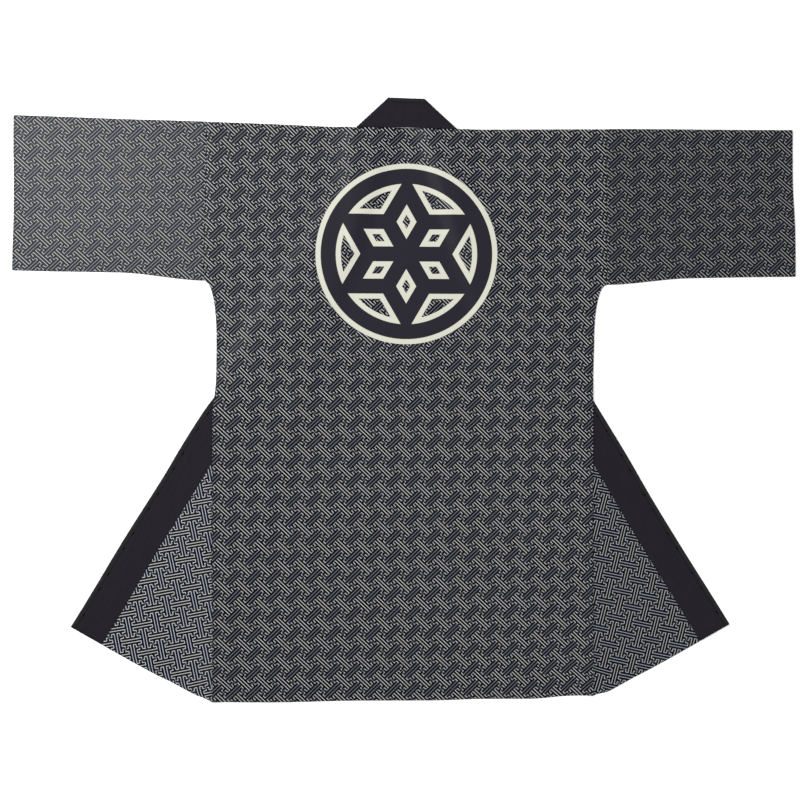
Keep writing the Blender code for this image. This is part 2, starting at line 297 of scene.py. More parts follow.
def half_width(y):
    """Half the back's width at y, with the rounded underarm."""
    drop = np.clip((-ARMHOLE_FOOT - y) / UNDERARM_DROP, 0, 1)
    side = SHOULDER_HALF - (SHOULDER_HALF - SIDE_HALF) * np.sqrt(1 - (1 - drop) ** 2)
    below = np.clip((-ARMHOLE_FOOT - UNDERARM_DROP - y) / (BODY_LENGTH - ARMHOLE_FOOT - UNDERARM_DROP), 0, 1)
    return side + (HEM_HALF - SIDE_HALF) * below


def sleeve_depth(share):
    """The sleeve's depth, from the armhole at share 0 to the cuff at share 1."""
    near = np.clip(1 - share / SLEEVE_TAPER_SHARE, 0, 1)
    return CUFF_DEPTH + (ARMHOLE_DEPTH - CUFF_DEPTH) * near**2 * (3 - 2 * near)


def steps_of(length, cell=CELL, at_end=True):
    """Distances from 0 to length, a cell apart, and finer at the start and, unless not wanted, the end."""
    inner = np.linspace(0, length, max(2, int(round(length / cell)) + 1))
    fine = np.array(EDGE_STEPS)
    extra = [fine, length - fine] if at_end else [fine]
    return np.unique(np.round(np.concatenate([inner, *extra]), 4))


class Lie:
    """How high each layer lies over the table, as fields on one plan grid, from the lowest layer up."""

    STEP = 3.0
    SIDE = 675.0
    LOW = -1000.0
    HIGH = 80.0

    def __init__(self):
        xs = np.arange(-self.SIDE, self.SIDE + self.STEP, self.STEP)
        ys = np.arange(self.LOW, self.HIGH + self.STEP, self.STEP)
        self.x, self.y = np.meshgrid(xs, ys)
        strip, flap, collar = self.within(STRIP), self.within(FLAP), self.within(COLLAR_MIDDLE)
        below = np.maximum(strip * (BAND + GAP), flap * (LAYER + GAP))
        below = np.maximum(below, self.near(NECK_POINT, FOLD_END, 5) * (BAND + GAP))
        self.front = self.laid(below, 6, 3)
        natural = (self.along_fold() > 0) & (np.abs(self.x) < half_width(self.y) + 2) & (self.y < 8)
        natural &= self.y > -BODY_LENGTH
        under = np.where(natural, self.front + LAYER + GAP, 0)
        under = np.maximum(under, collar * (2 * (BAND + GAP)))
        self.back = self.laid(under, 14, 7)
        self.ripples = self.waves()

    def along_fold(self):
        """How far each place is inside the fold line, towards the side."""
        offset = np.stack([np.abs(self.x) - FOLD_TOP[0], self.y - FOLD_TOP[1]], axis=-1)
        return -(offset @ FOLD_OUT)

    def within(self, corners):
        """True inside a convex outline, on both halves."""
        x, y = np.abs(self.x), self.y
        middle = np.mean(corners, axis=0)
        inside = np.ones_like(x, bool)
        for start, end in zip(corners, (*corners[1:], corners[0])):
            side = (end[0] - start[0]) * (y - start[1]) - (end[1] - start[1]) * (x - start[0])
            own = (end[0] - start[0]) * (middle[1] - start[1]) - (end[1] - start[1]) * (middle[0] - start[0])
            inside &= side * own >= 0
        return inside

    def near(self, start, end, reach):
        """True within reach of the line from start to end, on both halves."""
        offset = np.stack([np.abs(self.x) - start[0], self.y - start[1]], axis=-1)
        along = end - start
        share = np.clip(offset @ along / (along @ along), 0, 1)
        return np.linalg.norm(offset - share[..., None] * along, axis=-1) <= reach

    def laid(self, under, reach, soft):
        """Cloth laid over what is under it: it keeps that height a little past each edge, then falls softly."""
        cells = int(reach / self.STEP)
        spread = under.astype(float)
        for i in range(-cells, cells + 1):
            for j in range(-cells, cells + 1):
                if i * i + j * j <= cells * cells:
                    spread = np.maximum(spread, np.roll(under, (i, j), (0, 1)))
        reach_cells = int(3 * soft / self.STEP)
        weights = np.exp(-0.5 * (np.arange(-reach_cells, reach_cells + 1) * self.STEP / soft) ** 2)
        weights /= weights.sum()
        for axis in (0, 1):
            spread = sum(w * np.roll(spread, k - reach_cells, axis) for k, w in enumerate(weights))
        return spread

    def waves(self):
        """A faint, even waviness that all layers share, from 0 to 1."""
        pick = np.random.default_rng(11)
        total = np.zeros_like(self.x)
        for _ in range(14):
            turn = pick.uniform(0, 2 * math.pi)
            wave = pick.uniform(90, 300)
            phase = pick.uniform(0, 2 * math.pi)
            total += np.sin((self.x * math.cos(turn) + self.y * math.sin(turn)) * 2 * math.pi / wave + phase)
        return (total - total.min()) / np.ptp(total)

    def at(self, field, x, y):
        """The field's value at those places."""
        i = np.clip((y - self.LOW) / self.STEP, 0, field.shape[0] - 1.001)
        j = np.clip((x + self.SIDE) / self.STEP, 0, field.shape[1] - 1.001)
        i0, j0 = i.astype(int), j.astype(int)
        di, dj = i - i0, j - j0
        top = field[i0, j0] * (1 - dj) + field[i0, j0 + 1] * dj
        low = field[i0 + 1, j0] * (1 - dj) + field[i0 + 1, j0 + 1] * dj
        return top * (1 - di) + low * di


class Sheet:
    """Grids of four-sided faces that make one sheet of cloth, or the skin of a band, and its mesh."""

    def __init__(self):
        self.points, self.faces, self.flats, self.count = [], [], [], 0

    def grid(self, points, flats, flip=False):
        """Adds a grid of points, with the place of each on the flat cloth."""
        rows, columns = points.shape[:2]
        at = np.arange(rows * columns).reshape(rows, columns)
        corners = [at[:-1, :-1], at[1:, :-1], at[1:, 1:], at[:-1, 1:]]
        faces = np.stack(corners, axis=-1).reshape(-1, 4)
        faces = faces[:, ::-1] if flip else faces
        self.points.append(points.reshape(-1, 3))
        self.flats.append(flats.reshape(-1, 2)[faces])
        self.faces.append(faces + self.count)
        self.count += rows * columns

    def welded(self):
        """Points, faces and flats, with points that meet made one."""
        points = np.concatenate(self.points)
        faces = np.concatenate(self.faces)
        flats = np.concatenate(self.flats)
        _, first, place = np.unique(np.round(points, 3), axis=0, return_index=True, return_inverse=True)
        faces = place.reshape(-1)[faces]
        across = points[first][faces[:, 2]] - points[first][faces[:, 0]]
        other = points[first][faces[:, 3]] - points[first][faces[:, 1]]
        whole = np.linalg.norm(np.cross(across, other), axis=1) > 1e-4
        return points[first], faces[whole], flats[whole]

    def normals(self, points, faces):
        """The unit normal at each point."""
        across = points[faces[:, 2]] - points[faces[:, 0]]
        other = points[faces[:, 3]] - points[faces[:, 1]]
        normal = np.cross(across, other)
        total = np.zeros_like(points)
        for corner in range(4):
            np.add.at(total, faces[:, corner], normal)
        return total / np.maximum(np.linalg.norm(total, axis=1, keepdims=True), 1e-9)

    def shell(self, name, thick, materials):
        """The sheet as cloth that thick, with rounded edges. The second material goes on its reverse."""
        points, faces, flats = self.welded()
        normals = self.normals(points, faces)
        count = len(points)
        starts, ends = faces.reshape(-1), np.roll(faces, -1, axis=1).reshape(-1)
        start_flats, end_flats = flats.reshape(-1, 2), np.roll(flats, -1, axis=1).reshape(-1, 2)
        free = ~np.isin(starts * count + ends, ends * count + starts) & (starts != ends)
        starts, ends, start_flats, end_flats = starts[free], ends[free], start_flats[free], end_flats[free]
        away = np.cross(points[ends] - points[starts], normals[starts])
        outward = np.zeros_like(points)
        np.add.at(outward, starts, away)
        np.add.at(outward, ends, away)
        outward /= np.maximum(np.linalg.norm(outward, axis=1, keepdims=True), 1e-9)
        half = thick / 2
        skins = np.concatenate([points + normals * half, points - normals * half, points + outward * half])
        upper = np.stack([ends, starts, starts + 2 * count, ends + 2 * count], axis=1)
        lower = np.stack([ends + 2 * count, starts + 2 * count, starts + count, ends + count], axis=1)
        rim_flats = np.stack([end_flats, start_flats, start_flats, end_flats], axis=1)
        all_faces = np.concatenate([faces, faces[:, ::-1] + count, upper, lower])
        all_flats = np.concatenate([flats, flats[:, ::-1], rim_flats, rim_flats])
        kind = np.zeros(len(all_faces), int)
        kind[len(faces) : 2 * len(faces)] = len(materials) - 1
        return make_mesh(name, skins, all_faces, all_flats, materials, kind)

    def skin(self, name, materials):
        """The faces as they are, for a band whose grid already goes round it."""
        points, faces, flats = self.welded()
        return make_mesh(name, points, faces, flats, materials, np.zeros(len(faces), int))


def make_mesh(name, points, faces, flats, materials, kind):
    """A smooth mesh object from arrays in millimetres, with the cloth's own coordinates in a UV map."""
    used = np.unique(faces)
    place = np.zeros(len(points), int)
    place[used] = np.arange(len(used))
    points = (as_settled(points[used]) + (0, NECK_LINE_Y, 0)) * MM
    mesh = bpy.data.meshes.new(name)
    corners, corner_flats = [], []
    for face, flat in zip(place[faces].tolist(), flats.tolist()):
        keep = [k for k in range(4) if face[k] != face[k - 1]]
        corners.append([face[k] for k in keep])
        corner_flats.extend(flat[k] for k in keep)
    mesh.from_pydata(points.tolist(), [], corners)
    layer = mesh.uv_layers.new(name="cloth")
    layer.uv.foreach_set("vector", (np.array(corner_flats, np.float32) * MM).ravel())
    mesh.polygons.foreach_set("material_index", kind.astype(np.int32))
    mesh.polygons.foreach_set("use_smooth", np.ones(len(corners), bool))
    for material in materials:
        mesh.materials.append(material)
    mesh.update()
    return placed(name, mesh)


def placed(name, data):
    """A new object with that data, linked to the scene."""
    made = bpy.data.objects.new(name, data)
    bpy.context.scene.collection.objects.link(made)
    return made


def print_place(node, flat):
    """Where places on a piece's flat cut fall on the printed length."""
    lie = PRINT_LIE[node]
    turn, lean = math.radians(lie["turn"]), lie["lean"] / 100
    across = np.array((lie["wider"] / 100, lean - turn))
    along = np.array((lean + turn, lie["longer"] / 100))
    offset = flat - np.array(lie["about"])
    return flat + np.array(lie["start"]) + np.stack([offset @ across, offset @ along], axis=-1)


def as_settled(points):
    """Points moved by the small pulls that the cloth settled with, blended smoothly."""
    places = np.array([place for place, _ in PULLS.values()], float)
    moves = np.array([move for _, move in PULLS.values()], float)
    away = np.linalg.norm(points[:, None, :2] - places[None], axis=2) / PULL_REACH
    weights = 1 / (PULL_SOFT + away**3)
    shift = (weights[..., None] * moves[None]).sum(axis=1) / weights.sum(axis=1, keepdims=True)
    return points + np.concatenate([shift, np.zeros((len(points), 1))], axis=1)


# Materials


def add(tree, kind, inputs=(), **settings):
    """Adds a shader node with its settings. An input is a value, a socket, or a node's first output."""
    made = tree.nodes.new("ShaderNode" + kind)
    for name, value in settings.items():
        setattr(made, name, value)
    for name, value in inputs.items() if isinstance(inputs, dict) else enumerate(inputs):
        if isinstance(value, bpy.types.Node):
            value = value.outputs[0]
        if isinstance(value, bpy.types.NodeSocket):
            tree.links.new(value, made.inputs[name])
        else:
            made.inputs[name].default_value = value
    return made


def new_material(name):
    """An empty node material and its output node's tree."""
    material = bpy.data.materials.new(name)
    material.use_nodes = True
    material.node_tree.nodes.clear()
    return material, material.node_tree


def cloth_place(tree):
    """The place on the flat cloth, in metres, as x and y sockets."""
    split = add(tree, "SeparateXYZ", [add(tree, "UVMap", uv_map="cloth")])
    return split.outputs[0], split.outputs[1]


def off_bar(tree, u, v, bar):
    """How far a place is outside a bar (middle u, half u, middle v, half v), in line spacings."""
    past = []
    for place, middle, half in ((u, *bar[:2]), (v, *bar[2:])):
        offset = add(tree, "Math", [place, middle], operation="SUBTRACT")
        offset = add(tree, "Math", [offset], operation="ABSOLUTE")
        past.append(add(tree, "Math", [offset, half], operation="SUBTRACT"))
    return add(tree, "Math", past, operation="MAXIMUM")


def key_fret(tree, x, y, sizes):
    """Masks of the key-fret print's falling and rising lines. It is a linked fret drawn on the slant."""
    slant_x = add(tree, "Math", [x, 5 / sizes.repeat_wide], operation="MULTIPLY")
    slant_y = add(tree, "Math", [y, 5 / sizes.repeat_tall], operation="MULTIPLY")
    folded = []
    for operation in ("ADD", "SUBTRACT"):
        slant = add(tree, "Math", [slant_x, slant_y], operation=operation)
        shifted = add(tree, "Math", [slant, 2.5], operation="ADD")
        bounced = add(tree, "Math", [shifted, 5.0], operation="PINGPONG")
        folded.append(add(tree, "Math", [bounced, 2.5], operation="SUBTRACT"))
    p, q = folded
    # Each quarter of the block is the same hook turned, so a place is turned into the right-hand quarter.
    size_p = add(tree, "Math", [p], operation="ABSOLUTE")
    size_q = add(tree, "Math", [q], operation="ABSOLUTE")
    u = add(tree, "Math", [size_p, size_q], operation="MAXIMUM")
    sideways = add(tree, "Math", [size_p, size_q], operation="GREATER_THAN")
    turned_q = add(tree, "Math", [q, add(tree, "Math", [p], operation="SIGN")], operation="MULTIPLY")
    turned_p = add(tree, "Math", [p, add(tree, "Math", [q], operation="SIGN")], operation="MULTIPLY")
    upright = add(tree, "Math", [turned_p, -1.0], operation="MULTIPLY")
    change = add(tree, "Math", [turned_q, upright], operation="SUBTRACT")
    v = add(tree, "Math", [sideways, change, upright], operation="MULTIPLY_ADD")
    # The hook's two long bars stand across the quarter. Its other bars, the stub to the next block and
    # the dot in the middle run along it.
    long_bar = off_bar(tree, u, v, (2.0, 0.0, -1.0, 2.0))
    short_bar = off_bar(tree, u, v, (1.0, 0.0, 0.5, 0.5))
    stands = add(tree, "Math", [long_bar, short_bar], operation="MINIMUM")
    runs = u
    for bar in ((1.5, 0.5, 1.0, 0.0), (0.8, 0.2, 0.0, 0.0), (2.5, 0.5, 2.0, 0.0)):
        runs = add(tree, "Math", [runs, off_bar(tree, u, v, bar)], operation="MINIMUM")
    swap = add(tree, "Math", [stands, runs], operation="SUBTRACT")
    falling = add(tree, "Math", [sideways, swap, runs], operation="MULTIPLY_ADD")
    both = add(tree, "Math", [stands, runs], operation="ADD")
    rising = add(tree, "Math", [both, falling], operation="SUBTRACT")
    edge = 0.03
    half = sizes.line_share / 2
    masks = []
    for away in (falling, rising):
        spread = [away, half - edge, half + edge, 1.0, 0.0]
        masks.append(add(tree, "MapRange", spread, interpolation_type="SMOOTHSTEP"))
    return masks


def weave(tree, x, y, space):
    """Height of a plain weave from 0 to 1, with threads that far apart and of uneven thickness."""
    place = add(tree, "CombineXYZ", [x, y])
    threads = add(tree, "VectorMath", [place, (math.pi / space,) * 3], operation="MULTIPLY")
    over = add(tree, "SeparateXYZ", [threads])
    warp = add(tree, "Math", [over.outputs[0]], operation="SINE")
    weft = add(tree, "Math", [over.outputs[1]], operation="SINE")
    crossings = add(tree, "Math", [warp, weft], operation="MULTIPLY")
    lift = add(tree, "Math", [crossings, 0.5, 0.5], operation="MULTIPLY_ADD")
    slubs = []
    for stretch in ((1 / (3 * space), 1 / (60 * space), 1.0), (1 / (60 * space), 1 / (3 * space), 1.0)):
        stretched = add(tree, "VectorMath", [place, stretch], operation="MULTIPLY")
        slubs.append(add(tree, "TexNoise", {"Vector": stretched, "Scale": 1.0, "Detail": 2.0}))
    slub = add(tree, "Math", [slubs[0], slubs[1]], operation="ADD")
    return add(tree, "Math", [slub, 0.35, lift], operation="MULTIPLY_ADD"), slub


def medallion(tree, x, y, sizes):
    """Distance to the lines of a six-pointed star of rhombs in a ring, as a printed medallion has."""
    middle = print_place("back", np.array((0.0, -sizes.medallion_drop / MM))) * MM
    from_x = add(tree, "Math", [x, float(middle[0])], operation="SUBTRACT")
    from_y = add(tree, "Math", [y, float(middle[1])], operation="SUBTRACT")
    flat = add(tree, "CombineXYZ", [from_x, from_y])
    radius = add(tree, "VectorMath", [flat], operation="LENGTH").outputs["Value"]
    angle = add(tree, "Math", [from_x, from_y], operation="ARCTAN2")
    wedge = add(tree, "Math", [angle, math.radians(30)], operation="PINGPONG")
    cosine = add(tree, "Math", [wedge], operation="COSINE")
    sine = add(tree, "Math", [wedge], operation="SINE")
    along = add(tree, "Math", [radius, cosine], operation="MULTIPLY")
    aside = add(tree, "Math", [radius, sine], operation="MULTIPLY")
    point = sizes.medallion_radius * 0.83
    slope = math.cos(math.radians(30))
    notch = point / math.sqrt(3)
    half_along = add(tree, "Math", [along, 0.5], operation="MULTIPLY")
    # Spokes lie on the wedge's far side, at 30 degrees, and end at the notch between two points of the star.
    spoke = add(tree, "Math", [aside, -slope, half_along], operation="MULTIPLY_ADD")
    ahead = add(tree, "Math", [along, slope], operation="MULTIPLY")
    ahead = add(tree, "Math", [aside, 0.5, ahead], operation="MULTIPLY_ADD")
    past_notch = add(tree, "Math", [ahead, notch], operation="SUBTRACT")
    spoke = add(tree, "Math", [spoke, past_notch], operation="MAXIMUM")
    side = add(tree, "Math", [aside, slope, half_along], operation="MULTIPLY_ADD")
    side = add(tree, "Math", [side, 0.5 * point], operation="SUBTRACT")
    side = add(tree, "Math", [side], operation="ABSOLUTE")
    ring = add(tree, "Math", [radius, sizes.medallion_radius], operation="SUBTRACT")
    ring = add(tree, "Math", [ring], operation="ABSOLUTE")
    nearest = add(tree, "Math", [spoke, side], operation="MINIMUM")
    return add(tree, "Math", [nearest, ring], operation="MINIMUM")


def cotton_surface(tree, colour, height, depth, roughness, sheen, shine):
    """The shader of cloth and thread: a weak gloss, and as much fuzz as is asked for."""
    bump = add(tree, "Bump", {"Height": height, "Strength": 0.35, "Distance": depth})
    shader = add(
        tree,
        "BsdfPrincipled",
        {
            "Base Color": colour,
            "Roughness": roughness,
            "Specular IOR Level": shine,
            "Sheen Weight": sheen,
            "Sheen Roughness": 0.6,
            "Normal": bump,
        },
    )
    add(tree, "OutputMaterial", [shader])


def printed_cotton(name, settings, falling_strength, rising_strength, shine=0.07, with_medallion=False):
    """Plain-weave cotton, dyed navy and printed. The eye gets a dull ground, crisp lines and fine grain."""
    material, tree = new_material(name)
    cloth, sizes, colours = settings.hanten_cloth, settings.hanten_print, settings.hanten_colours
    x, y = cloth_place(tree)
    # Real threads are about 0.4 mm apart; they are drawn at twice that, or the render would lose them.
    height, slub = weave(tree, x, y, cloth.thread_space)
    falling, rising = key_fret(tree, x, y, sizes)
    uneven = add(tree, "MapRange", [slub, 0.6, 1.4, 0.82, 1.0])
    colour = colours.ground
    # On the outside pieces these strengths also carry painted light and shade, so that pieces differ in tone.
    inks = ((rising, rising_strength, colours.cool_ink), (falling, falling_strength, colours.ink))
    for mask, strength, ink in inks:
        share = add(tree, "Math", [mask, strength], operation="MULTIPLY")
        share = add(tree, "Math", [share, uneven], operation="MULTIPLY")
        colour = add(tree, "Mix", {0: share, 6: colour, 7: ink}, data_type="RGBA").outputs[2]
    if with_medallion:
        away = medallion(tree, x, y, sizes)
        bar = 12.5 * MM
        rim = 21 * MM
        soft = 0.2 * MM
        pale = add(tree, "MapRange", [away, rim - soft, rim + soft, 1.0, 0.0])
        dark = add(tree, "MapRange", [away, bar - soft, bar + soft, 1.0, 0.0])
        for mask, ink in ((pale, colours.medallion_pale), (dark, colours.medallion_dark)):
            colour = add(tree, "Mix", {0: mask, 6: colour, 7: ink}, data_type="RGBA").outputs[2]
    cotton_surface(tree, colour, height, 0.1 * MM, 0.4, 0.02, shine)
    return material


def dyed_cotton(name, settings):
    """Plain-weave cotton dyed black with a navy cast. The eye gets a deep matt band with a faint grain."""
    material, tree = new_material(name)
    cloth, colours = settings.hanten_cloth, settings.hanten_colours
    x, y = cloth_place(tree)
    height, slub = weave(tree, x, y, cloth.thread_space)
    tone = add(tree, "MapRange", [slub, 0.6, 1.4, 0.8, 1.25])
    # The border outside the stitches is worn a little paler, and along the stitched line, which lies in a
    # groove, painted shade darkens the cloth.
    from_edge = add(tree, "Math", [x, COLLAR_WIDTH * MM], operation="SUBTRACT")
    from_edge = add(tree, "Math", [from_edge], operation="ABSOLUTE")
    inset = cloth.stitch_inset
    border = add(tree, "MapRange", [from_edge, inset - 0.6 * MM, inset, 1.0, 0.0])
    worn = {0: border, 6: colours.collar, 7: colours.collar_edge}
    colour = add(tree, "Mix", worn, data_type="RGBA").outputs[2]
    off_line = add(tree, "Math", [from_edge, inset], operation="SUBTRACT")
    off_line = add(tree, "Math", [off_line], operation="ABSOLUTE")
    # Painted shade: the cloth is darkened along the stitch line, where the groove would shade it.
    painted_groove_shade = add(tree, "MapRange", [off_line, 0.3 * MM, 1.1 * MM, 0.35, 1.0])
    tone = add(tree, "Math", [tone, painted_groove_shade], operation="MULTIPLY")
    colour = add(tree, "VectorMath", {0: colour, "Scale": tone}, operation="SCALE")
    cotton_surface(tree, colour, height, 0.2 * MM, 0.6, 0.01, 0.06)
    return material


def mottled(tree, colour, wide, detail, darkest, palest):
    """A colour made uneven by spots that are that wide, in metres, and the spots' pattern."""
    place = add(tree, "TexCoord").outputs["Object"]
    spots = add(tree, "TexNoise", {"Vector": place, "Scale": 1 / wide, "Detail": detail})
    tone = add(tree, "MapRange", [spots, 0.3, 0.7, darkest, palest])
    return add(tree, "VectorMath", {0: colour[:3], "Scale": tone}, operation="SCALE"), spots


def sewing_thread(settings):
    """Spun cotton thread, waxed. The eye gets a small dark tick on the band."""
    material, tree = new_material("sewing_thread")
    # A thread's plies are about 0.3 mm long; they are drawn at 1 mm.
    colour, plies = mottled(tree, settings.hanten_colours.thread, 1 * MM, 1.0, 0.7, 1.3)
    cotton_surface(tree, colour, plies, 0.1 * MM, 0.8, 0.0, 0.02)
    return material


def coated_board(settings):
    """Matt white coated board. The eye gets a clean pale table with no grain to speak of."""
    material, tree = new_material("coated_board")
    colour, _ = mottled(tree, settings.hanten_colours.floor, 40 * MM, 3.0, 0.99, 1.0)
    shader = add(tree, "BsdfPrincipled", {"Base Color": colour, "Roughness": 0.9, "Specular IOR Level": 0.1})
    add(tree, "OutputMaterial", [shader])
    return material


# Pieces


def half_round(centre, out, low, high, steps=FOLD_STEPS):
    """Middle points of a fold that turns from the low level to the high one, round a line of centres."""
    radius = (high - low) / 2
    turns = np.linspace(-math.pi / 2, math.pi / 2, steps + 1)
    flat = centre[None] + radius[None, :, None] * np.cos(turns)[:, None, None] * out
    height = (low + high)[None] / 2 + radius[None] * np.sin(turns)[:, None]
    return np.concatenate([flat, height[..., None]], axis=-1)


def tucked(distance):
    """How far cloth dips beside a seam or an edge, by its distance from it."""
    return 0.3 * np.exp(-np.maximum(distance, 0) / 2.0)


def build_back(lie, settings):
    """The back: the shoulder fold, then the panel down to the hem."""
    thick = settings.hanten_cloth.cloth_thick / MM
    ripple = settings.hanten_cloth.ripple / MM
    half = thick / 2
    across = steps_of(2 * SHOULDER_HALF) / SHOULDER_HALF - 1
    turns = np.linspace(0, math.pi / 2, 11)
    underarm = ARMHOLE_FOOT + UNDERARM_DROP * (1 - np.cos(turns))
    down = np.unique(np.concatenate([steps_of(BODY_LENGTH - half), underarm]))[1:]
    outer = (LAYER + GAP) / 2 + half
    rows = -(outer + down * (BODY_LENGTH - half - outer) / down[-1])
    rows[np.argmin(np.abs(rows + ARMHOLE_FOOT))] = -ARMHOLE_FOOT
    width = half_width(rows) - half
    x = across[None] * width[:, None]
    y = rows[:, None] + shoulder(x) * np.clip(1 + rows[:, None] / ARMHOLE_FOOT, 0, 1)
    level = lie.at(lie.back, x, y) + half
    edge = width[:, None] * (1 - np.abs(across))[None]
    z = level + ripple * lie.at(lie.ripples, x, y) - tucked(edge)
    panel = np.stack([x, y, z], axis=-1)
    top_x, top_y = x[0], y[0]
    low = lie.at(lie.front, top_x, top_y) + half
    low = low + ripple * lie.at(lie.ripples, top_x, top_y)
    share = np.clip((np.abs(top_x) - NECK_HALF + 5) / 10, 0.2, 1)
    # Behind the neck the fold is flat, so it reaches up to the collar by as much as it is thinner.
    panel[0, :, 1] += (1 - share) * (LAYER + GAP) / 2
    centre = panel[0, :, :2]
    low = z[0] - (z[0] - low) * share
    fold = half_round(centre, np.array((0.0, 1.0)), low, z[0])
    sheet = Sheet()
    flat = np.stack([x, y], axis=-1)
    lengths = np.linspace(1, 0, FOLD_STEPS + 1)[:, None] * (math.pi * (z[0] - low) / 2)[None]
    fold_flat = np.stack([np.broadcast_to(top_x, lengths.shape), top_y + lengths], axis=-1)
    whole = np.concatenate([fold[:-1], panel])
    sheet.grid(whole, print_place("back", np.concatenate([fold_flat[:-1], flat])))
    piece = sheet.shell("back_cloth", thick, [outside_cotton("back", settings), reverse_cotton(settings)])
    dress(piece, "back")


def reverse_cotton(settings):
    """The reverse of the print, where the ink only shows through."""
    made = bpy.data.materials.get("printed_cotton_reverse")
    return made or printed_cotton("printed_cotton_reverse", settings, 0.4, 0.3)


def outside_cotton(node, settings):
    """The printed side of one piece's cloth."""
    # Each piece gets its own copy of the cloth, and its line strengths carry painted light and shade.
    name = "printed_cotton_" + node
    return printed_cotton(name, settings, *PRINT_TAKE_AND_PAINTED_LIGHT[node], with_medallion=node == "back")


def dress(piece, node):
    """Puts the piece in the place of its CAD node: attaches it to the root and hides that node."""
    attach(piece, "root")
    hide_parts(node)


def build_front(lie, settings, side):
    """One front: its natural part under the back, the long fold, and the part folded out."""
    node = "front_right" if side > 0 else "front_left"
    thick = settings.hanten_cloth.cloth_thick / MM
    ripple = settings.hanten_cloth.ripple / MM
    half = thick / 2
    outer = (LAYER + GAP) / 2 + half
    columns = steps_of(SHOULDER_HALF - NECK_HALF)
    columns = columns / columns[-1]
    sheet = Sheet()

    def natural(inner_x, rows):
        """Points of the natural part, from the side to inner_x."""
        width = half_width(rows) - half
        x = width[:, None] + (inner_x - width)[:, None] * columns[None]
        y = rows[:, None] + shoulder(x) * np.clip(1 + rows[:, None] / ARMHOLE_FOOT, 0, 1)
        edge = (width[:, None] - x) * (rows < -ARMHOLE_FOOT)[:, None] + 30 * (rows >= -ARMHOLE_FOOT)[:, None]
        z = lie.at(lie.front, x, y) + half + ripple * lie.at(lie.ripples, x, y) + tucked(edge)
        return np.stack([x, y, z], axis=-1)

    inset = outer / -FOLD_OUT[0]
    upper_rows = -(outer + GAP + half + steps_of(-FOLD_END[1] - outer - GAP - half, at_end=False))
    seam_share = upper_rows / FOLD_END[1]
    seam_x = NECK_POINT[0] + (FOLD_END[0] - NECK_POINT[0]) * seam_share + inset
    upper = natural(seam_x, upper_rows)
    shares = steps_of(1000, cell=1000 * CELL / np.linalg.norm(FOLD_FOOT - FOLD_END)) / 1000
    fold_line = on_line(FOLD_END, FOLD_FOOT, shares)
    seam_line = on_line(FOLD_END, FLAP_SEAM_FOOT, shares)
    cut_line = on_line(FOLD_END, SEAM_FOOT, shares)
    inner_x = np.minimum(fold_line[:, 0] + inset, half_width(fold_line[:, 1]) - half)
    lower = natural(inner_x, fold_line[:, 1])
    centre = lower[:, -1, :2]
    high = lower[:, -1, 2]
    low = half + ripple * lie.at(lie.ripples, centre[:, 0], centre[:, 1])
    fold = half_round(centre, FOLD_OUT, low, high)[::-1].transpose(1, 0, 2)
    over = steps_of(1000, cell=24, at_end=False)[:, None] / 1000
    flap_plan = centre[:, None] + (seam_line - centre)[:, None] * over[None]
    flap_cut = fold_line[:, None] + (cut_line - fold_line)[:, None] * over[None]
    flap_z = half + ripple * lie.at(lie.ripples, flap_plan[..., 0], flap_plan[..., 1])
    flap = np.concatenate([flap_plan, flap_z[..., None]], axis=-1)
    fold_flat = np.broadcast_to(fold_line[:, None], (*fold.shape[:2], 2))
    whole = np.concatenate([lower, fold[:, 1:-1], flap], axis=1)
    flats = np.concatenate([lower[..., :2], fold_flat[:, 1:-1], flap_cut], axis=1)
    for points, flat in ((upper, upper[..., :2]), (whole, flats)):
        sheet.grid(points * (side, 1, 1), print_place(node, flat * (side, 1)), flip=side < 0)
    piece = sheet.shell(node + "_cloth", thick, [outside_cotton(node, settings), reverse_cotton(settings)])
    dress(piece, node)


def build_sleeve(lie, settings, side):
    """One sleeve: a flat tube, with its fold at the top, its seam at the bottom, and an open cuff."""
    node = "sleeve_right" if side > 0 else "sleeve_left"
    thick = settings.hanten_cloth.cloth_thick / MM
    ripple = settings.hanten_cloth.ripple / MM
    half = thick / 2
    length = HALF_SPAN - SHOULDER_HALF - GAP / 2 - 2 * half
    along = steps_of(length)
    x = SHOULDER_HALF + GAP / 2 + half + along
    top = shoulder(x)
    low_edge = top - sleeve_depth(along / length)
    outer = (LAYER + GAP) / 2 + half
    share = steps_of(CUFF_DEPTH)
    share = share / share[-1]
    y = (low_edge + outer)[:, None] + (top - low_edge - 2 * outer)[:, None] * share[None]
    wide = np.broadcast_to(x[:, None], y.shape)
    lift = ripple * lie.at(lie.ripples, wide, y)
    ends = tucked(along)[:, None]
    upper_z = LAYER + GAP + half + lift - ends
    lower_z = half + lift
    upper = np.stack([wide, y, upper_z], axis=-1)
    lower = np.stack([wide, y, lower_z], axis=-1)[:, ::-1]
    top_fold = half_round(upper[:, -1, :2], np.array((0.0, 1.0)), lower[:, 0, 2], upper[:, -1, 2])
    top_fold = top_fold[::-1].transpose(1, 0, 2)
    foot_fold = half_round(upper[:, 0, :2], np.array((0.0, -1.0)), lower[:, -1, 2], upper[:, 0, 2])
    foot_fold = foot_fold.transpose(1, 0, 2)
    ring = np.concatenate([upper, top_fold[:, 1:-1], lower, foot_fold[:, 1:-1], upper[:, :1]], axis=1)
    turned = np.cumsum(np.linalg.norm(np.diff(ring, axis=1), axis=2), axis=1)
    around = np.concatenate([np.zeros((len(ring), 1)), turned], axis=1) + low_edge[:, None] + outer
    flat = np.stack([ring[..., 0], around], axis=-1)
    sheet = Sheet()
    sheet.grid(ring * (side, 1, 1), print_place(node, flat * (side, 1)), flip=side < 0)
    piece = sheet.shell(node + "_cloth", thick, [outside_cotton(node, settings), reverse_cotton(settings)])
    dress(piece, node)


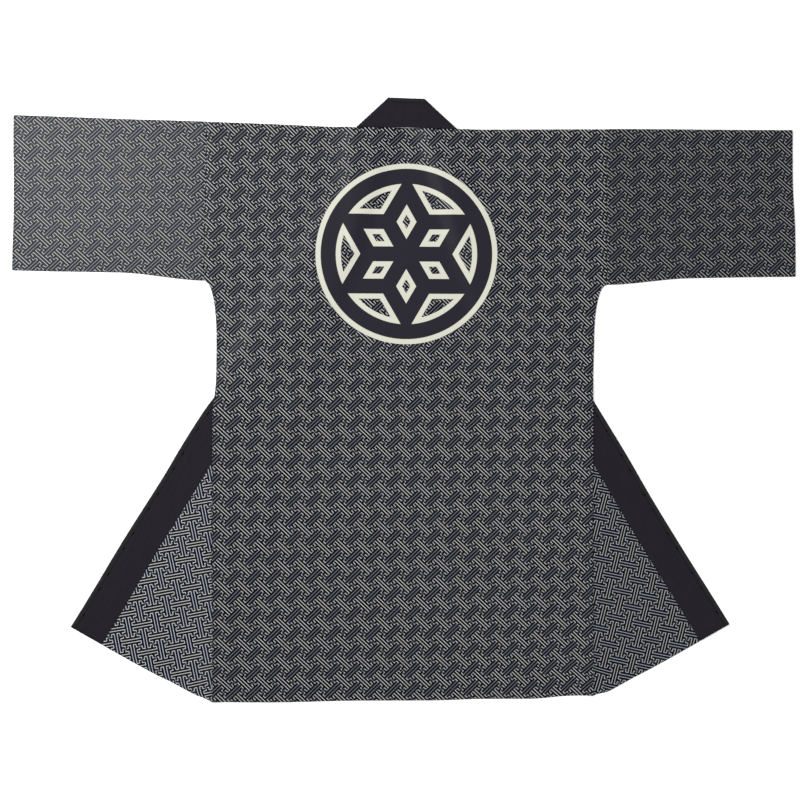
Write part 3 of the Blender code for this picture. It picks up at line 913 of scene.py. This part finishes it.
def short_of(line, towards, out, inset):
    """A fold line's two ends, moved back along the band's edges until they are inset from the line."""
    ends = []
    for point, other in zip(line, towards):
        along = (other - point) / np.linalg.norm(other - point)
        ends.append(point + along * inset / -(along @ out))
    return ends


class Band:
    """The collar band's right half as stations: a point on its seam edge, one on its free edge, a normal."""

    def __init__(self, lie, settings):
        self.lie = lie
        self.ripple = settings.hanten_cloth.ripple / MM
        self.seam, self.free, self.up = [], [], []
        half = BAND / 2
        high, middle, low = 2 * (BAND + GAP) + half, BAND + GAP + half, half
        mitre_along = (NECK_MITRE[1] - NECK_MITRE[0]) / np.linalg.norm(NECK_MITRE[1] - NECK_MITRE[0])
        mitre_out = np.array((mitre_along[1], -mitre_along[0]))
        radius = (high - middle) / 2
        inset = radius + half
        ends = [FLAP_SEAM_FOOT, FLAP_CORNER]
        neck = [np.array((0.0, 0.1)), np.array((0.0, COLLAR_RISE))]
        fold = [FOLD_END, FOLD_TOP]
        above_mitre = short_of(NECK_MITRE, neck, mitre_out, inset)
        below_mitre = short_of(NECK_MITRE, fold, mitre_out, inset)
        above_fold = short_of(fold, NECK_MITRE, FOLD_OUT, inset)
        below_fold = short_of(fold, ends, FOLD_OUT, inset)
        self.run(neck, above_mitre, high, 1, 18)
        self.turn(above_mitre, below_mitre, mitre_out, high, middle, 1)
        self.run(below_mitre, above_fold, middle, -1, 34)
        self.turn(above_fold, below_fold, FOLD_OUT, middle, low, -1)
        self.run(below_fold, ends, low, 1, 180)

    def run(self, start, end, level, up, steps):
        """A flat stretch from one station to another."""
        for share in np.linspace(0, 1, steps + 1):
            seam, free = [on_line(first, last, share) for first, last in zip(start, end)]
            self.station(seam, free, level, (0, 0, up))

    def turn(self, before, after, out, start, end, up):
        """A half-round fold over a line, downwards."""
        centre, radius = (start + end) / 2, (start - end) / 2
        for turn in np.linspace(math.pi / 2, -math.pi / 2, FOLD_STEPS + 1)[1:-1]:
            shift = out * radius * math.cos(turn)
            share = (1 - math.sin(turn)) / 2
            normal = np.array((*(out * math.cos(turn)), math.sin(turn))) * up
            seam, free = on_line(before[0], after[0], share), on_line(before[1], after[1], share)
            self.station(seam + shift, free + shift, centre + radius * math.sin(turn), normal)

    def station(self, seam, free, level, normal):
        """Adds one station at that level."""
        for points, place in ((self.seam, seam), (self.free, free)):
            lift = self.ripple * self.lie.at(self.lie.ripples, np.array(place[0]), np.array(place[1]))
            points.append((*place, level + lift))
        self.up.append(normal)


def build_collar(lie, settings):
    """The collar: one doubled band, mitred at the neck, folded out with the fronts."""
    band = Band(lie, settings)
    seam, free, up = np.array(band.seam), np.array(band.free), np.array(band.up, float)
    seam, free, up = [np.concatenate([part[:0:-1] * (-1, 1, 1), part]) for part in (seam, free, up)]
    line = settings.hanten_cloth.stitch_inset / MM
    line_at = COLLAR_WIDTH - line
    inner = np.linspace(7, 42, 8)
    groove_steps = line_at + np.array([-3.5, -1.7, -0.9, -0.3, 0.3, 1.1, 2.9])
    around = np.concatenate([[0, 0.4, 1.2, 3], inner, groove_steps, COLLAR_WIDTH - np.array([3, 1.2, 0.4])])
    around = around / COLLAR_WIDTH
    groove = 0.4 * np.exp(-(((1 - around) * COLLAR_WIDTH - line) ** 2) / 1.2)
    nearest = np.minimum(around, 1 - around) * COLLAR_WIDTH
    round_edge = np.sqrt(np.clip(1 - (1 - np.clip(nearest / (BAND / 2), 0, 1)) ** 2, 0, 1))
    top = BAND / 2 * round_edge - groove
    bottom = -BAND / 2 * round_edge
    shares = np.concatenate([around, [1.0], around[::-1]])
    heights = np.concatenate([top, [0.0], bottom[::-1]])
    closed = seam[:, None] + (free - seam)[:, None] * shares[None, :, None]
    ring = closed + up[:, None] * heights[None, :, None]
    middle = (seam + free) / 2
    length = np.concatenate([[0], np.cumsum(np.linalg.norm(np.diff(middle, axis=0), axis=1))])
    side = np.concatenate([[0], np.cumsum(np.abs(np.diff(shares)) * COLLAR_WIDTH)])
    flat = np.stack(np.broadcast_arrays(side[None], length[:, None]), axis=-1)
    ring = np.concatenate([closed[:1], ring, closed[-1:]])
    flat = np.concatenate([flat[:1], flat, flat[-1:]])
    sheet = Sheet()
    sheet.grid(ring, flat)
    piece = sheet.skin("collar_band", [dyed_cotton("dyed_cotton_collar", settings)])
    dress(piece, "collar")


def build_stitches(lie, settings):
    """Stitches along the folded-out band, inside its free edge, in pairs as a hand sewer leaves them."""
    cloth = settings.hanten_cloth
    inset, length = cloth.stitch_inset / MM, cloth.stitch_length / MM
    start, end = FOLD_TOP, FLAP_CORNER
    whole = np.linalg.norm(end - start)
    along = (end - start) / whole
    inward = np.array((along[1], -along[0]))
    material = sewing_thread(settings)
    sheet = Sheet()
    place = STITCH_START
    number = 0
    while place < whole - STITCH_BARE_END:
        middle = start + along * place + inward * inset
        lift = cloth.ripple / MM * lie.at(lie.ripples, np.array(middle[0]), np.array(middle[1]))
        for side in (1, -1):
            add_stitch(sheet, middle, along, inward, BAND + lift - STITCH_SUNK, length, side)
        place += STITCH_SPACES[number % 2]
        number += 1
    piece = sheet.skin("collar_stitches", [material])
    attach(piece, "root")


def add_stitch(sheet, middle, along, inward, level, length, side):
    """One stitch: a short thread that comes up out of the cloth and goes back in."""
    shares = np.linspace(-1, 1, 9)
    turns = np.linspace(0, 2 * math.pi, 9)
    thick = STITCH_HALF * np.sqrt(np.clip(1.02 - shares**2, 0, 1))
    line = middle[None] + along[None] * shares[:, None] * length / 2
    height = level + 0.25 * (1 - shares**2)
    across = np.cos(turns)[None, :, None] * thick[:, None, None] * inward
    plan = line[:, None] + across
    z = height[:, None] + np.sin(turns)[None] * thick[:, None]
    points = np.concatenate([plan, z[..., None]], axis=-1)
    flat = np.stack(np.broadcast_arrays(shares[:, None], turns[None]), axis=-1)
    sheet.grid(points * (side, 1, 1), flat, flip=side > 0)


def light_panel(name, place, aim, size, power):
    """A soft square light, facing its aim."""
    data = bpy.data.lights.new(name, "AREA")
    data.shape = "SQUARE"
    data.size = size
    data.energy = power
    lamp = placed(name, data)
    lamp.location = place
    lamp.rotation_euler = (Vector(aim) - Vector(place)).to_track_quat("-Z", "Y").to_euler()


def build_stage(settings):
    """The pale table, the soft lights and the camera above the garment."""
    scene = bpy.context.scene
    mesh = bpy.data.meshes.new("floor")
    corners = [(x * FLOOR_HALF, y * FLOOR_HALF, FLOOR_LEVEL) for x, y in ((-1, -1), (1, -1), (1, 1), (-1, 1))]
    mesh.from_pydata(corners, [], [(0, 1, 2, 3)])
    mesh.materials.append(coated_board(settings))
    floor = placed("floor", mesh)
    world = bpy.data.worlds.new("studio")
    scene.world = world
    world.use_nodes = True
    sky = world.node_tree.nodes["Background"].inputs
    sky["Color"].default_value = (1, 1, 1, 1)
    sky["Strength"].default_value = SKY_STRENGTH
    for lamp in LAMPS:
        light_panel(*lamp)
    lens = bpy.data.cameras.new("camera")
    lens.lens = LENS
    lens.sensor_width = SENSOR
    camera = placed("camera", lens)
    yaw, pitch, roll = (math.radians(turn) for turn in CAMERA_TURNS)
    view = Matrix.Rotation(roll, 3, "Z") @ Matrix.Rotation(pitch, 3, "X") @ Matrix.Rotation(yaw, 3, "Y")
    camera.matrix_world = Matrix.Translation(CAMERA_PLACE) @ view.transposed().to_4x4()
    scene.camera = camera
    scene.view_settings.view_transform = "Standard"


LIE = Lie()


class HANTEN_OT_stage(bpy.types.Operator):
    """Lays the table and sets the lights and the camera"""

    bl_idname = "hanten.stage"
    bl_label = "Stage"

    def execute(self, context):
        build_stage(context.scene)
        return {"FINISHED"}


class HANTEN_OT_back(bpy.types.Operator):
    """Makes the back panel with its shoulder fold and medallion"""

    bl_idname = "hanten.back"
    bl_label = "Back"

    def execute(self, context):
        build_back(LIE, context.scene)
        return {"FINISHED"}


class HANTEN_OT_fronts(bpy.types.Operator):
    """Makes both fronts, folded out under the back"""

    bl_idname = "hanten.fronts"
    bl_label = "Fronts"

    def execute(self, context):
        for side in (1, -1):
            build_front(LIE, context.scene, side)
        return {"FINISHED"}


class HANTEN_OT_sleeves(bpy.types.Operator):
    """Makes both sleeves"""

    bl_idname = "hanten.sleeves"
    bl_label = "Sleeves"

    def execute(self, context):
        for side in (1, -1):
            build_sleeve(LIE, context.scene, side)
        return {"FINISHED"}


class HANTEN_OT_collar(bpy.types.Operator):
    """Makes the collar band"""

    bl_idname = "hanten.collar"
    bl_label = "Collar"

    def execute(self, context):
        build_collar(LIE, context.scene)
        return {"FINISHED"}


class HANTEN_OT_stitches(bpy.types.Operator):
    """Sews the stitches along the folded-out band"""

    bl_idname = "hanten.stitches"
    bl_label = "Stitches"

    def execute(self, context):
        build_stitches(LIE, context.scene)
        return {"FINISHED"}


OPERATORS = (
    HANTEN_OT_stage,
    HANTEN_OT_back,
    HANTEN_OT_fronts,
    HANTEN_OT_sleeves,
    HANTEN_OT_collar,
    HANTEN_OT_stitches,
)


class HANTEN_PT_panel(bpy.types.Panel):
    """The hanten's settings and steps"""

    bl_idname = "HANTEN_PT_panel"
    bl_label = "Hanten"
    bl_space_type = "VIEW_3D"
    bl_region_type = "UI"
    bl_category = "Hanten"

    def draw(self, context):
        for group in (context.scene.hanten_cloth, context.scene.hanten_print, context.scene.hanten_colours):
            box = self.layout.box()
            for name in group.__annotations__:
                box.prop(group, name)
        for operator in OPERATORS:
            self.layout.operator(operator.bl_idname)


CLASSES = (HantenCloth, HantenPrint, HantenColours, *OPERATORS, HANTEN_PT_panel)


def register():
    """Registers the classes and puts the settings on the scene."""
    for made in CLASSES:
        bpy.utils.register_class(made)
    bpy.types.Scene.hanten_cloth = PointerProperty(type=HantenCloth)
    bpy.types.Scene.hanten_print = PointerProperty(type=HantenPrint)
    bpy.types.Scene.hanten_colours = PointerProperty(type=HantenColours)


def unregister():
    """Takes the settings and classes away again."""
    del bpy.types.Scene.hanten_colours
    del bpy.types.Scene.hanten_print
    del bpy.types.Scene.hanten_cloth
    for made in reversed(CLASSES):
        bpy.utils.unregister_class(made)


def main():
    """Makes every piece in order."""
    register()
    bpy.ops.hanten.stage()
    bpy.ops.hanten.back()
    bpy.ops.hanten.fronts()
    bpy.ops.hanten.sleeves()
    bpy.ops.hanten.collar()
    bpy.ops.hanten.stitches()


if __name__ == "__main__":
    main()
